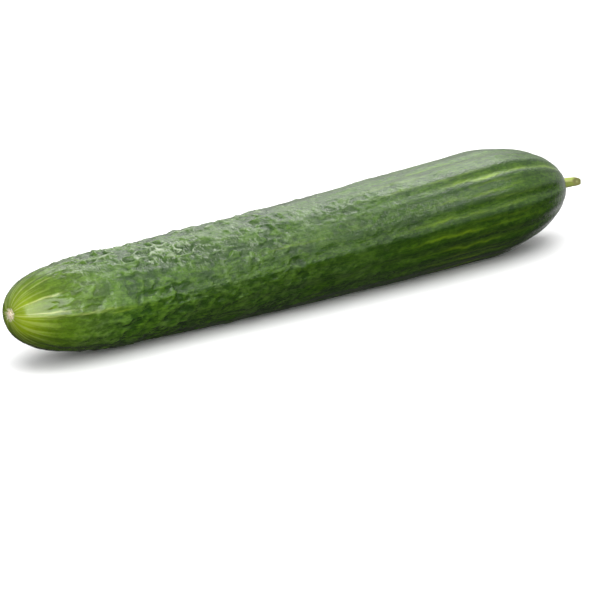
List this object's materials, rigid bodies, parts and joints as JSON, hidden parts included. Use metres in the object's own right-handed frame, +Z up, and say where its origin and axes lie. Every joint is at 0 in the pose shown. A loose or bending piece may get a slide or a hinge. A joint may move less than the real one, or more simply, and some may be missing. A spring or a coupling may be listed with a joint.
{
  "type": "cucumber",
  "caption": "Whole long green cucumber lying on its side, ribbed and lightly warted, with a pale blossom scar and a short cut stem.",
  "frame": {"origin": "on the surface that the fruit rests on, under the middle of its length, on the narrow flat of its underside", "axes": "+X along the fruit from the blossom end to the cut stem, +Z up from the surface it lies on, +Y across the fruit"},
  "size_m": [0.3485, 0.0519, 0.0497],
  "materials": {
    "skin": "waxy semi-gloss green skin with pale yellow-green streaks and a cream scar at the blossom end",
    "stem": "dry yellow-green stem with a pale brown cut end"
  },
  "bodies": {
    "root": {"fruit": "skin", "stem": "stem"}
  },
  "joints": []
}
